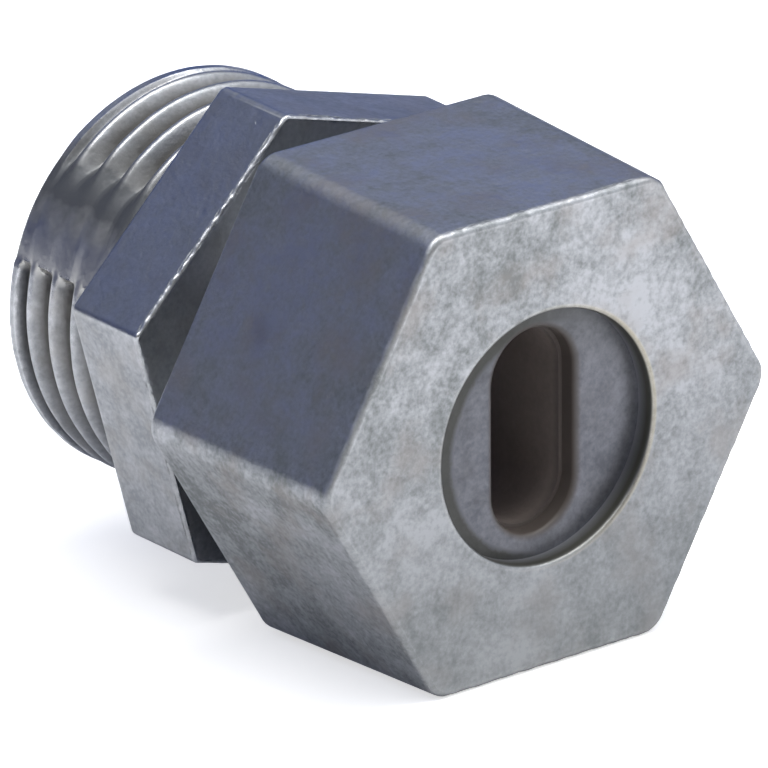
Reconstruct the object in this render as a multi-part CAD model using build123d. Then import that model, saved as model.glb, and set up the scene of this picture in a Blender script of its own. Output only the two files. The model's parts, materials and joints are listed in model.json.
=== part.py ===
from build123d import *
from math import floor, radians, tan
import os

# Watertight connector for flat cable, lying on its side.
# The origin is on the connector's axis, at the face of the collar that seats on a box wall.
# The conduit thread points to +Y, the cable enters from -Y, and +Z is up.

# Conduit thread: 14 turns to the inch, with a plain land at its free end
CONDUIT_THREAD_DIAMETER = 21.0
CONDUIT_THREAD_LENGTH = 8.6
THREAD_PITCH = 25.4 / 14
THREAD_CREST = 0.35
THREAD_ROOT = 0.20
THREAD_FLANK_ANGLE = 30.0
THREAD_LAND = 0.8
THREAD_LEAD_CHAMFER = 0.35

# Seam of the two die halves: it runs from corner to corner of the collar and flattens the thread
SEAM_FLAT_WIDTH = 2.6
SEAM_FLAT_DROP = 0.25

# Collar of the body
COLLAR_ACROSS_FLATS = 22.9
COLLAR_WIDTH = 5.2
COLLAR_TURN = -15.0
COLLAR_CORNER_RADIUS = 0.5
COLLAR_EDGE_CHAMFER = 0.2

# Spigot of the body, which carries the nut and holds the rubber
GLAND_THREAD_DIAMETER = 19.8
GLAND_RELIEF_LENGTH = 1.3
GLAND_RELIEF_DEPTH = 0.75
GLAND_RIM_CHAMFER = 0.8
CUP_DIAMETER = 15.6
CUP_DEPTH = 6.5
SEAT_ANGLE = 45.0
THROAT_DIAMETER = 12.4
THROAT_LENGTH = 1.6
BORE_DIAMETER = 15.0
BORE_MOUTH_CHAMFER = 0.7
CORE_DRAFT = 1.0

# Nut
NUT_ACROSS_FLATS = 23.8
NUT_LENGTH = 13.1
NUT_DRAFT = 2.2
NUT_CORNER_RADIUS = 1.3
NUT_EDGE_RADIUS = 0.35
NUT_REAR_CHAMFER = 0.25
NUT_HOLE_DIAMETER = 12.9
NUT_HOLE_CHAMFER = 0.15
NUT_LIP = 1.1
NUT_GAP = 2.9
NUT_MOUTH_CHAMFER = 0.7
POCKET_SHOULDER_ANGLE = 45.0
NUT_RUNNING_CLEARANCE = 0.08

# Washer and rubber
WASHER_DIAMETER = 17.6
WASHER_THICKNESS = 1.0
WASHER_CLEARANCE = 0.15
WASHER_EDGE_CHAMFER = 0.15
CABLE_SLOT_WIDTH = 5.0
CABLE_SLOT_HEIGHT = 10.5
GROMMET_PROUD = 1.8
GROMMET_CLEARANCE = 0.08
GROMMET_GRIP = 0.2
GROMMET_EDGE_RADIUS = 0.35

# Places along the axis, from the seat of the collar forwards
COLLAR_FRONT_Y = -COLLAR_WIDTH
NUT_REAR_Y = COLLAR_FRONT_Y - NUT_GAP
NUT_FRONT_Y = NUT_REAR_Y - NUT_LENGTH
WASHER_FRONT_Y = NUT_FRONT_Y + NUT_LIP
WASHER_REAR_Y = WASHER_FRONT_Y + WASHER_THICKNESS
RIM_Y = WASHER_REAR_Y + GROMMET_PROUD
SEAT_Y = RIM_Y + CUP_DEPTH
THROAT_Y = SEAT_Y + (CUP_DIAMETER - THROAT_DIAMETER) / 2 / tan(radians(SEAT_ANGLE))

AXIS_PLANE = Plane.XY
FORWARD_PLANE = Plane(origin=(0, 0, 0), x_dir=(1, 0, 0), z_dir=(0, -1, 0))
HEXAGON_SIDES = 6


def turned(points):
    """Solid of revolution about the connector's axis from (radius, place along the axis) points."""
    outline = Polyline(*[(radius, place) for radius, place in points], close=True)
    return revolve(make_face(AXIS_PLANE * outline), Axis.Y)


def hexagon(across_flats, corner_radius, place, turn=0.0):
    """Rounded hexagon across the axis at a place along it, with a flat on top unless it is turned."""
    plane = FORWARD_PLANE.offset(-place)
    flat_sided = RegularPolygon(across_flats / 2, HEXAGON_SIDES, major_radius=False, rotation=turn)
    corners = flat_sided.vertices()
    return plane * fillet(corners, corner_radius)


def oblong_hole(width, height, front, rear):
    """Upright oblong prism along the axis, between two places on it."""
    plane = FORWARD_PLANE.offset(-rear)
    return extrude(plane * SlotOverall(height, width, rotation=90), rear - front)


def edges_across_axis(solid, place):
    """Edges of a solid that lie in the plane across the axis at the given place."""
    return solid.edges().filter_by_position(Axis.Y, place, place)


def groove_depth():
    """Depth of a thread groove, from the pitch, the flats and the angle of its flanks."""
    return (THREAD_PITCH - THREAD_CREST - THREAD_ROOT) / 2 / tan(radians(THREAD_FLANK_ANGLE))


def conduit_thread():
    """Threaded stub behind the collar: grooves with the thread's own section, up to a plain land."""
    crest = CONDUIT_THREAD_DIAMETER / 2
    root = crest - groove_depth()
    half_mouth = (THREAD_PITCH - THREAD_CREST) / 2
    half_root = THREAD_ROOT / 2
    groove_count = floor((CONDUIT_THREAD_LENGTH - THREAD_LAND) / THREAD_PITCH)
    points = [(0, COLLAR_FRONT_Y / 2), (crest, COLLAR_FRONT_Y / 2)]
    for index in reversed(range(groove_count)):
        middle = CONDUIT_THREAD_LENGTH - THREAD_LAND - THREAD_PITCH * (index + 0.5)
        points.append((crest, middle - half_mouth))
        points.append((root, middle - half_root))
        points.append((root, middle + half_root))
        points.append((crest, middle + half_mouth))
    points.append((crest, CONDUIT_THREAD_LENGTH - THREAD_LEAD_CHAMFER))
    points.append((crest - THREAD_LEAD_CHAMFER, CONDUIT_THREAD_LENGTH))
    points.append((0, CONDUIT_THREAD_LENGTH))
    return turned(points)


def seam_flats():
    """Low strips along both sides of the thread, where the two die halves met."""
    flat_radius = CONDUIT_THREAD_DIAMETER / 2 - SEAM_FLAT_DROP
    length = CONDUIT_THREAD_LENGTH - THREAD_LEAD_CHAMFER
    strip = Box(2 * flat_radius, length, SEAM_FLAT_WIDTH, align=(Align.CENTER, Align.MIN, Align.CENTER))
    rod = extrude(FORWARD_PLANE * Circle(flat_radius), -length)
    return Rot(0, -COLLAR_TURN, 0) * strip & rod


def collar():
    """Hexagonal collar, turned a little against the nut."""
    face = hexagon(COLLAR_ACROSS_FLATS, COLLAR_CORNER_RADIUS, 0, COLLAR_TURN)
    prism = extrude(face, COLLAR_WIDTH)
    rims = edges_across_axis(prism, 0) + edges_across_axis(prism, COLLAR_FRONT_Y)
    return chamfer(rims, COLLAR_EDGE_CHAMFER)


def spigot():
    """Round stub in front of the collar: a relief next to it, then the gland thread's full diameter."""
    radius = GLAND_THREAD_DIAMETER / 2
    relief = radius - GLAND_RELIEF_DEPTH
    relief_end = COLLAR_FRONT_Y - GLAND_RELIEF_LENGTH
    return turned([
        (0, COLLAR_FRONT_Y / 2),
        (relief, COLLAR_FRONT_Y / 2),
        (relief, relief_end),
        (radius, relief_end - GLAND_RELIEF_DEPTH),
        (radius, RIM_Y + GLAND_RIM_CHAMFER),
        (radius - GLAND_RIM_CHAMFER, RIM_Y),
        (0, RIM_Y),
    ])


def cable_way():
    """Hollow through the body: cup for the rubber, conical seat, throat, and bore to the conduit end."""
    cup = CUP_DIAMETER / 2
    throat = THROAT_DIAMETER / 2
    bore = BORE_DIAMETER / 2
    throat_end = THROAT_Y + THROAT_LENGTH
    bore_start = throat_end + bore - throat
    bore_end = CONDUIT_THREAD_LENGTH - BORE_MOUTH_CHAMFER
    drafted_bore = bore + tan(radians(CORE_DRAFT)) * (bore_end - bore_start)
    return turned([
        (0, RIM_Y),
        (cup, RIM_Y),
        (cup, SEAT_Y),
        (throat, THROAT_Y),
        (throat, throat_end),
        (bore, bore_start),
        (drafted_bore, bore_end),
        (drafted_bore + BORE_MOUTH_CHAMFER, CONDUIT_THREAD_LENGTH),
        (0, CONDUIT_THREAD_LENGTH),
    ])


def connector_body():
    """The body casting."""
    return conduit_thread() + seam_flats() + collar() + spigot() - cable_way()


def nut_hollow():
    """Inside of the nut: mouth, thread bore, shoulder and the pocket that the washer sits in."""
    thread = GLAND_THREAD_DIAMETER / 2 + NUT_RUNNING_CLEARANCE
    pocket = WASHER_DIAMETER / 2 + WASHER_CLEARANCE
    shoulder_end = WASHER_REAR_Y + (thread - pocket) / tan(radians(POCKET_SHOULDER_ANGLE))
    return turned([
        (0, WASHER_FRONT_Y),
        (pocket, WASHER_FRONT_Y),
        (pocket, WASHER_REAR_Y),
        (thread, shoulder_end),
        (thread, NUT_REAR_Y - NUT_MOUTH_CHAMFER),
        (thread + NUT_MOUTH_CHAMFER, NUT_REAR_Y),
        (0, NUT_REAR_Y),
    ])


def gland_nut():
    """The nut casting: a hexagon that narrows towards its soft front edge."""
    growth = 2 * NUT_LENGTH * tan(radians(NUT_DRAFT))
    rear = hexagon(NUT_ACROSS_FLATS + growth, NUT_CORNER_RADIUS, NUT_REAR_Y)
    front = hexagon(NUT_ACROSS_FLATS, NUT_CORNER_RADIUS, NUT_FRONT_Y)
    prism = loft([rear, front], ruled=True)
    soft_front = fillet(edges_across_axis(prism, NUT_FRONT_Y), NUT_EDGE_RADIUS)
    soft = chamfer(edges_across_axis(soft_front, NUT_REAR_Y), NUT_REAR_CHAMFER)
    front_hole = extrude(FORWARD_PLANE.offset(-WASHER_FRONT_Y) * Circle(NUT_HOLE_DIAMETER / 2), NUT_LIP)
    cast = soft - nut_hollow() - front_hole
    hole_rim = edges_across_axis(cast, NUT_FRONT_Y).filter_by(GeomType.CIRCLE).sort_by(SortBy.LENGTH)[-1]
    return chamfer(hole_rim, NUT_HOLE_CHAMFER)


def friction_washer():
    """Pressed steel washer with a slot for the cable, its front edges drawn in by the punch."""
    disc = extrude(FORWARD_PLANE.offset(-WASHER_REAR_Y) * Circle(WASHER_DIAMETER / 2), WASHER_THICKNESS)
    pierced = disc - oblong_hole(CABLE_SLOT_WIDTH, CABLE_SLOT_HEIGHT, WASHER_FRONT_Y, WASHER_REAR_Y)
    return chamfer(edges_across_axis(pierced, WASHER_FRONT_Y), WASHER_EDGE_CHAMFER)


def sealing_grommet():
    """Rubber bushing: straight in the cup, with a nose on the conical seat and a slot for the cable."""
    radius = CUP_DIAMETER / 2 - GROMMET_CLEARANCE
    nose = THROAT_DIAMETER / 2
    nose_end = THROAT_Y - GROMMET_CLEARANCE
    nose_start = nose_end - (radius - nose) / tan(radians(SEAT_ANGLE))
    plug = turned([
        (0, WASHER_REAR_Y),
        (radius - GROMMET_EDGE_RADIUS, WASHER_REAR_Y),
        (radius, WASHER_REAR_Y + GROMMET_EDGE_RADIUS),
        (radius, nose_start),
        (nose, nose_end),
        (0, nose_end),
    ])
    width = CABLE_SLOT_WIDTH - 2 * GROMMET_GRIP
    height = CABLE_SLOT_HEIGHT - 2 * GROMMET_GRIP
    return plug - oblong_hole(width, height, WASHER_REAR_Y, THROAT_Y)


PIECES = {
    "connector_body": connector_body,
    "gland_nut": gland_nut,
    "friction_washer": friction_washer,
    "sealing_grommet": sealing_grommet,
}

os.makedirs("parts", exist_ok=True)
for name, make in PIECES.items():
    piece = make()
    export_step(piece, f"parts/{name}.step")
    print(name, "volume", round(piece.volume, 1), "valid", piece.is_valid)
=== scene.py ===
# %% [markdown]
# A watertight connector for flat cable, dressed for a product picture.
# The real thing is two zinc die castings, a body and a nut, with a slotted steel washer and a
# rubber bushing between them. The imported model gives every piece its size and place, and this
# lesson gives them their true threads, soft cast edges and finishes.

# %% Load the frame
import json
from math import atan2, cos, degrees, pi, radians, sin, tan

import bmesh
import bpy
import numpy as np
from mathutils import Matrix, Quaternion, Vector, noise


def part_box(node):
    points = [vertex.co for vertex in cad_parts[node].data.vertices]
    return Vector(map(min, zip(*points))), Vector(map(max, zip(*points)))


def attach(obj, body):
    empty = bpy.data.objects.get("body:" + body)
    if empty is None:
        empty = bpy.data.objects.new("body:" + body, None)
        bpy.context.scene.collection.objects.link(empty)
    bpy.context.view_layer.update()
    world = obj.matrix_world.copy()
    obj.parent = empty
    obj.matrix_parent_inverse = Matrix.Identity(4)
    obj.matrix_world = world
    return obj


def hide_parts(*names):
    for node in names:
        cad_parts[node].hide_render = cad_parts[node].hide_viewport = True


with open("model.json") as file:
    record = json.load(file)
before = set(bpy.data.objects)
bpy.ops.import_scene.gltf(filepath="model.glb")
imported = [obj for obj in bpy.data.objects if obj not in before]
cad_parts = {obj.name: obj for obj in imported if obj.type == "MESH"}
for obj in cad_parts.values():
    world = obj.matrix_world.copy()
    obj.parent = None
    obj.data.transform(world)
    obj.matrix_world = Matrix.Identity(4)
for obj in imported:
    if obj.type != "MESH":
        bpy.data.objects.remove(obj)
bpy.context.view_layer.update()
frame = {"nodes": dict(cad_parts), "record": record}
MM = 0.001
print("nodes:", sorted(frame["nodes"]))

# %% [markdown]
# The measures below come from the frame where it has them. The body's box gives the ends of the
# spigot and of the conduit thread, the nut's box its length, and the mount gives the thread's
# radius. What the boxes can't give, such as the pitch of a thread, is a named value here.

# %% Measures along the axis
BODY_LOW, BODY_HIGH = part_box("connector_body")
NUT_LOW, NUT_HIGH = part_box("gland_nut")
WASHER_LOW, WASHER_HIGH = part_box("friction_washer")
BUSHING_LOW, BUSHING_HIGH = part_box("sealing_grommet")

THREAD_END_Y = BODY_HIGH.y
SPIGOT_RIM_Y = BODY_LOW.y
NUT_FRONT_Y = NUT_LOW.y
NUT_REAR_Y = NUT_HIGH.y
WASHER_FRONT_Y = WASHER_LOW.y
WASHER_REAR_Y = WASHER_HIGH.y
mounts = {mount["name"]: mount for mount in frame["record"]["mounts"]}
CONDUIT_RADIUS = mounts["conduit_thread"]["dims"]["r_mm"] * MM
print("nut from", round(NUT_FRONT_Y, 4), "to", round(NUT_REAR_Y, 4), "conduit radius", CONDUIT_RADIUS)

# %% [markdown]
# The camera stands where the photographer stood: to the left of the axis, above it, and far away
# with a long lens, so that the nut's edges hardly run together. A place on the axis, two angles
# and a distance say that more plainly than a matrix would.

# %% Camera
AIM_POINT = Vector((0.0006, -0.0076, -0.00155))
CAMERA_AZIMUTH = radians(-37.85)
CAMERA_ELEVATION = radians(21.64)
CAMERA_DISTANCE = 0.4932
CAMERA_ROLL = radians(-0.42)
LENS_MM = 472.0
CLIP_NEAR = 0.01
CLIP_FAR = 20.0


def add_camera():
    """The photograph's camera, aimed at a point near the middle of the connector."""
    back = Vector((
        sin(CAMERA_AZIMUTH) * cos(CAMERA_ELEVATION),
        -cos(CAMERA_AZIMUTH) * cos(CAMERA_ELEVATION),
        sin(CAMERA_ELEVATION),
    ))
    data = bpy.data.cameras.new("photo_camera")
    camera = bpy.data.objects.new("photo_camera", data)
    bpy.context.scene.collection.objects.link(camera)
    camera.location = AIM_POINT + back * CAMERA_DISTANCE
    camera.rotation_mode = "QUATERNION"
    level = (-back).to_track_quat("-Z", "Y")
    camera.rotation_quaternion = level @ Quaternion((0, 0, 1), CAMERA_ROLL)
    data.lens = LENS_MM
    data.clip_start = CLIP_NEAR
    data.clip_end = CLIP_FAR
    bpy.context.scene.camera = camera
    return camera


camera = add_camera()
bpy.context.scene.view_settings.view_transform = "Standard"
print("camera at", [round(v, 4) for v in camera.location])

# %% [markdown]
# Helpers for modelling as by hand. Operators act on whatever is selected, so the first helper
# clears the selection, and the others pick points, edges or faces by where they are.

# %% Helpers for selecting and finishing
TOUCH = 1e-6


def deselect():
    """Nothing selected and nothing in edit mode, so that the next operator acts only on its own piece."""
    if bpy.context.object is not None and bpy.context.object.mode != "OBJECT":
        bpy.ops.object.mode_set(mode="OBJECT")
    bpy.ops.object.select_all(action="DESELECT")


def edit(piece, mode="VERT"):
    """Opens one piece in edit mode with nothing in it selected."""
    deselect()
    piece.select_set(True)
    bpy.context.view_layer.objects.active = piece
    bpy.ops.object.mode_set(mode="EDIT")
    bpy.ops.mesh.select_mode(type=mode)
    bpy.ops.mesh.select_all(action="DESELECT")
    return bmesh.from_edit_mesh(piece.data)


def pick(piece, elements, wanted):
    """Selects the elements of the open mesh for which wanted(element) is true, and counts them."""
    chosen = [element for element in elements if wanted(element)]
    for element in chosen:
        element.select_set(True)
    bmesh.update_edit_mesh(piece.data)
    return len(chosen)


def close_edit():
    """Back to object mode."""
    bpy.ops.object.mode_set(mode="OBJECT")


def settle(piece, name):
    """Names a new primitive and bakes its place into its mesh, so that its object sits at the origin."""
    piece.name = name
    piece.data.name = name
    bpy.ops.object.transform_apply(location=True, rotation=True, scale=True)
    return piece


def apply_modifier(piece, kind, **settings):
    """Adds one modifier with its settings and applies it at once."""
    deselect()
    piece.select_set(True)
    bpy.context.view_layer.objects.active = piece
    modifier = piece.modifiers.new(kind.lower(), kind)
    for key, value in settings.items():
        setattr(modifier, key, value)
    bpy.ops.object.modifier_apply(modifier=modifier.name)


def carve(piece, tool, operation="DIFFERENCE"):
    """Boolean of a piece with a tool, which is used up."""
    apply_modifier(piece, "BOOLEAN", operation=operation, object=tool, solver="EXACT")
    mesh = tool.data
    bpy.data.objects.remove(tool)
    bpy.data.meshes.remove(mesh)


def outline_edge(edge, place):
    """True for an edge that lies in the plane across the axis at a place along it."""
    return all(abs(vertex.co.y - place) < TOUCH for vertex in edge.verts)


print("points within", TOUCH, "m count as touching")

# %% [markdown]
# A casting is never dead smooth or dead sharp. Shading is smooth over the rounded edges and
# breaks only at real corners, and weighted normals keep the big flats flat beside them.

# %% Helper for shading
SMOOTH_ANGLE = radians(38)
MERGE_DISTANCE = 2e-6
NORMAL_WEIGHT = 80


def finish_mesh(piece, angle=SMOOTH_ANGLE):
    """Merges doubles, turns the normals outwards and shades the piece smooth up to an angle."""
    edit(piece)
    bpy.ops.mesh.select_all(action="SELECT")
    bpy.ops.mesh.remove_doubles(threshold=MERGE_DISTANCE)
    bpy.ops.mesh.normals_make_consistent(inside=False)
    close_edit()
    bpy.ops.object.shade_smooth_by_angle(angle=angle)
    apply_modifier(piece, "WEIGHTED_NORMAL", keep_sharp=True, weight=NORMAL_WEIGHT)
    print(piece.name, "has", len(piece.data.polygons), "faces")


print("shading is smooth up to", round(degrees(SMOOTH_ANGLE)), "degrees")

# %% [markdown]
# Everything round is turned from its section. A circle primitive gives a closed chain of points,
# each point is moved to its place on the section's outline, and the spin operator carries the
# chain once round the axis, like a lathe.

# %% The lathe
LATHE_STEPS = 240


def lathe(name, section, steps=LATHE_STEPS):
    """Closed ring-shaped mesh from a section of (radius, place along the axis) points."""
    deselect()
    bpy.ops.mesh.primitive_circle_add(vertices=len(section), radius=CONDUIT_RADIUS)
    piece = settle(bpy.context.object, name)
    for vertex, (radius, place) in zip(piece.data.vertices, section):
        vertex.co = (0.0, place, radius)
    edit(piece)
    bpy.ops.mesh.select_all(action="SELECT")
    bpy.ops.mesh.spin(steps=steps, angle=2 * pi, center=(0, 0, 0), axis=(0, 1, 0))
    bpy.ops.mesh.select_all(action="SELECT")
    bpy.ops.mesh.remove_doubles(threshold=MERGE_DISTANCE)
    bpy.ops.mesh.normals_make_consistent(inside=False)
    close_edit()
    return piece


def run(radius, start, end, spacing):
    """Evenly spaced section points at one radius, for a stretch that gets a thread."""
    count = max(1, round(abs(end - start) / spacing))
    return [(radius, start + (end - start) * index / count) for index in range(count + 1)]


print("lathe makes", LATHE_STEPS, "steps a turn")

# %% [markdown]
# A screw thread is one ridge that climbs round the axis, one pitch for each turn. On the dense
# rows of a lathe mesh it is a formula: the phase of a point is its place along the axis less its
# share of a turn, and the phase says how deep the groove is there. The angle runs from +Z to +X,
# which is a right-hand turn about +Y, so both threads come out right-handed.

# %% The thread formula
CONDUIT_PITCH = 25.4 / 14 * MM
CONDUIT_CREST = 0.30 * MM
CONDUIT_ROOT = 0.24 * MM
CONDUIT_DEPTH = 1.02 * MM
GLAND_PITCH = 1.27 * MM
GLAND_CREST = 0.20 * MM
GLAND_ROOT = 0.16 * MM
GLAND_DEPTH = 0.62 * MM
CREST_SOFTNESS = 0.15


def groove(phase, pitch, crest, root):
    """Depth of the groove, from 0 on the rounded crest to 1 at the root, at a phase from 0 to 1."""
    from_middle = np.abs(phase - 0.5) * pitch
    half_root = root / 2
    half_mouth = (pitch - crest) / 2
    sharp = (half_mouth - from_middle) / (half_mouth - half_root)
    return np.minimum((np.sqrt(sharp ** 2 + CREST_SOFTNESS ** 2) + sharp) / 2, 1.0)


def phase_of(points, pitch, start):
    """Phase of each point in a right-hand thread that starts at a place along the axis."""
    turn = np.arctan2(points[:, 0], points[:, 2]) / (2 * pi)
    return np.mod((points[:, 1] - start) / pitch - turn, 1.0)


def read_points(piece):
    """The piece's points as an array."""
    points = np.empty(len(piece.data.vertices) * 3)
    piece.data.vertices.foreach_get("co", points)
    return points.reshape(-1, 3)


def write_points(piece, points):
    """Puts an array of points back into the piece."""
    piece.data.vertices.foreach_set("co", points.ravel())
    piece.data.update()


def fade(places, low, high, length):
    """1 between two places along the axis, falling to 0 over a length at either end."""
    return np.clip((places - low) / length, 0, 1) * np.clip((high - places) / length, 0, 1)


print("pitches:", round(CONDUIT_PITCH / MM, 3), "and", round(GLAND_PITCH / MM, 3), "mm")

# %% [markdown]
# The body casting, first its round parts in one section. Rows are close together where a thread
# will be cut. The outline runs from the spigot's rim back over the spigot, under the collar, along
# the conduit thread, in at the mouth of the bore, and forwards through the bore to the cup.

# %% Body: section
COLLAR_WIDTH = 5.2 * MM
GLAND_RADIUS = 9.9 * MM
RELIEF_LENGTH = 1.3 * MM
RELIEF_DEPTH = 0.75 * MM
RELIEF_END_SHARE = 0.6
STUB_START_SHARE = 0.5
RIM_CHAMFER = 0.8 * MM
LEAD_CHAMFER = 0.35 * MM
CUP_RADIUS = 7.8 * MM
CUP_DEPTH = 6.5 * MM
THROAT_RADIUS = 6.2 * MM
THROAT_LENGTH = 1.6 * MM
BORE_RADIUS = 7.5 * MM
BORE_DRAFT = radians(1.0)
BORE_MOUTH_RADIUS = 0.85 * MM
THREAD_ROOT_Y = -0.62 * MM
CONDUIT_ROW = 0.06 * MM
ROW = 0.11 * MM
ARC_STEPS = 7

COLLAR_FRONT_Y = -COLLAR_WIDTH
SEAT_Y = SPIGOT_RIM_Y + CUP_DEPTH
THROAT_Y = SEAT_Y + CUP_RADIUS - THROAT_RADIUS
THROAT_END_Y = THROAT_Y + THROAT_LENGTH
BORE_START_Y = THROAT_END_Y + BORE_RADIUS - THROAT_RADIUS
BORE_MOUTH_Y = THREAD_END_Y - BORE_MOUTH_RADIUS
BORE_END_RADIUS = BORE_RADIUS + tan(BORE_DRAFT) * (BORE_MOUTH_Y - BORE_START_Y)
GLAND_START_Y = COLLAR_FRONT_Y - RELIEF_LENGTH - RELIEF_DEPTH


def body_section():
    """Outline of the body's section, without the collar."""
    points = [(GLAND_RADIUS - RIM_CHAMFER, SPIGOT_RIM_Y)]
    points += run(GLAND_RADIUS, SPIGOT_RIM_Y + RIM_CHAMFER, GLAND_START_Y, ROW)
    points.append((GLAND_RADIUS - RELIEF_DEPTH, COLLAR_FRONT_Y - RELIEF_LENGTH))
    points.append((GLAND_RADIUS - RELIEF_DEPTH, COLLAR_FRONT_Y * RELIEF_END_SHARE))
    points.append((CONDUIT_RADIUS - CONDUIT_DEPTH, COLLAR_FRONT_Y * STUB_START_SHARE))
    points += run(CONDUIT_RADIUS, THREAD_ROOT_Y, THREAD_END_Y - LEAD_CHAMFER, CONDUIT_ROW)
    points.append((CONDUIT_RADIUS - LEAD_CHAMFER, THREAD_END_Y))
    for step in range(ARC_STEPS + 1):
        angle = pi / 2 * step / ARC_STEPS
        radius = BORE_END_RADIUS + BORE_MOUTH_RADIUS * (1 - sin(angle))
        points.append((radius, BORE_MOUTH_Y + BORE_MOUTH_RADIUS * cos(angle)))
    points.append((BORE_RADIUS, BORE_START_Y))
    points.append((THROAT_RADIUS, THROAT_END_Y))
    points.append((THROAT_RADIUS, THROAT_Y))
    points.append((CUP_RADIUS, SEAT_Y))
    points.append((CUP_RADIUS, SPIGOT_RIM_Y))
    return points


body = lathe("connector_casting", body_section())
print("body turned:", len(body.data.vertices), "points")

# %% [markdown]
# The collar is a six-sided primitive. It gets small rounded corners, its two outlines are divided
# so that their rounding can be a little uneven, and they are bevelled. Its corners are turned 15
# degrees against the nut's, as in the photograph.

# %% Body: collar
COLLAR_ACROSS_FLATS = 22.9 * MM
COLLAR_TURN = radians(15)
COLLAR_CORNER_RADIUS = 0.5 * MM
COLLAR_EDGE_ROUND = 0.22 * MM
COLLAR_HOLE_RADIUS = 8.6 * MM
HEXAGON = 6
HALF_SIDE_ANGLE = radians(30)
CORNER_ROUND_SHARE = tan(HALF_SIDE_ANGLE)
ROUND_SEGMENTS = 5
OUTLINE_CUTS = 64
SHORTEST_CUT = 2 * MM


def hexagonal_prism(name, across_flats, front, rear, turn):
    """Six-sided prism along the axis with a flat on top, turned to the left as seen from the front."""
    deselect()
    bpy.ops.mesh.primitive_cylinder_add(
        vertices=HEXAGON,
        radius=across_flats / 2 / cos(HALF_SIDE_ANGLE),
        depth=rear - front,
        location=(0, (front + rear) / 2, 0),
        rotation=(pi / 2, turn - HALF_SIDE_ANGLE, 0),
    )
    return settle(bpy.context.object, name)


def round_long_edges(piece, radius):
    """Rounds the edges that run along the axis."""
    mesh = edit(piece, "EDGE")
    pick(piece, mesh.edges, lambda edge: abs(edge.verts[0].co.y - edge.verts[1].co.y) > radius)
    bpy.ops.mesh.bevel(offset=radius * CORNER_ROUND_SHARE, segments=ROUND_SEGMENTS)
    close_edit()


def round_outline(piece, place, radius):
    """Divides the long sides of the outline at a place along the axis and rounds the whole outline."""
    mesh = edit(piece, "EDGE")
    pick(piece, mesh.edges, lambda edge: outline_edge(edge, place) and edge.calc_length() > SHORTEST_CUT)
    bpy.ops.mesh.subdivide(number_cuts=OUTLINE_CUTS)
    bpy.ops.mesh.select_all(action="DESELECT")
    mesh = bmesh.from_edit_mesh(piece.data)
    pick(piece, mesh.edges, lambda edge: outline_edge(edge, place))
    bpy.ops.mesh.bevel(offset=radius, segments=ROUND_SEGMENTS)
    close_edit()


collar = hexagonal_prism("collar", COLLAR_ACROSS_FLATS, COLLAR_FRONT_Y, 0.0, COLLAR_TURN)
round_long_edges(collar, COLLAR_CORNER_RADIUS)
round_outline(collar, COLLAR_FRONT_Y, COLLAR_EDGE_ROUND)
round_outline(collar, 0.0, COLLAR_EDGE_ROUND)
print("collar:", [round(v * 1000, 2) for v in collar.dimensions], "mm")

# %% [markdown]
# Cast edges wander. Points on a rounded outline are pushed in by a little smooth noise, so that
# a highlight along the edge breaks into beads, as it does on the real collar.

# %% Uneven edge of the collar
def roughen(piece, is_edge, amount, size, seed):
    """Pushes the points for which is_edge(point) is true towards the axis by up to an amount."""
    offset = Vector((seed, 0, 0))
    for vertex in piece.data.vertices:
        if is_edge(vertex.co):
            push = (noise.noise(vertex.co / size + offset) - 1) / 2 * amount
            outwards = Vector((vertex.co.x, 0, vertex.co.z)).normalized()
            vertex.co += outwards * push
    piece.data.update()


COLLAR_WANDER = 0.17 * MM
COLLAR_WANDER_SIZE = 0.3 * MM
COLLAR_SEED = 3.0
WITH_LAST_ROW = 1.01
roughen(
    collar,
    lambda point: TOUCH < point.y - COLLAR_FRONT_Y < COLLAR_EDGE_ROUND * WITH_LAST_ROW,
    COLLAR_WANDER,
    COLLAR_WANDER_SIZE,
    COLLAR_SEED,
)
print("collar's front edge wanders by up to", COLLAR_WANDER, "m")

# %% [markdown]
# The collar gets a plain hole that ends inside the body's wall. The threads are cut by moving the
# rows of the turned part, and then the two closed shapes are joined by a union.

# %% Body: join collar and cut the threads
TOOL_SIDES = 96


def plain_cylinder(name, radius, front, rear, vertices=TOOL_SIDES):
    """Closed cylinder along the axis, used as a tool."""
    deselect()
    bpy.ops.mesh.primitive_cylinder_add(
        vertices=vertices,
        radius=radius,
        depth=rear - front,
        location=(0, (front + rear) / 2, 0),
        rotation=(pi / 2, 0, 0),
    )
    return settle(bpy.context.object, name)


carve(collar, plain_cylinder("collar_hole", COLLAR_HOLE_RADIUS, COLLAR_FRONT_Y - MM, MM))

SEAM_ANGLE = radians(27)
SEAM_REACH = radians(12)
SEAM_LOWER_SOFTNESS = radians(1.0)
SEAM_UPPER_SOFTNESS = radians(16)
SEAM_DROP = 0.09 * MM
SEAM_GROOVE_END = 0.05 * MM
SEAM_GROOVE_ROOT = 0.3 * MM
SEAM_CLEAN_Y = 5.6 * MM
THREAD_LAND = 0.8 * MM
THREAD_FADE = 0.3 * MM
CREST_SETBACK = 1.36 * MM
CAST_WAVE = 0.035 * MM
CAST_WAVE_SIZE = 1.6 * MM


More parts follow.
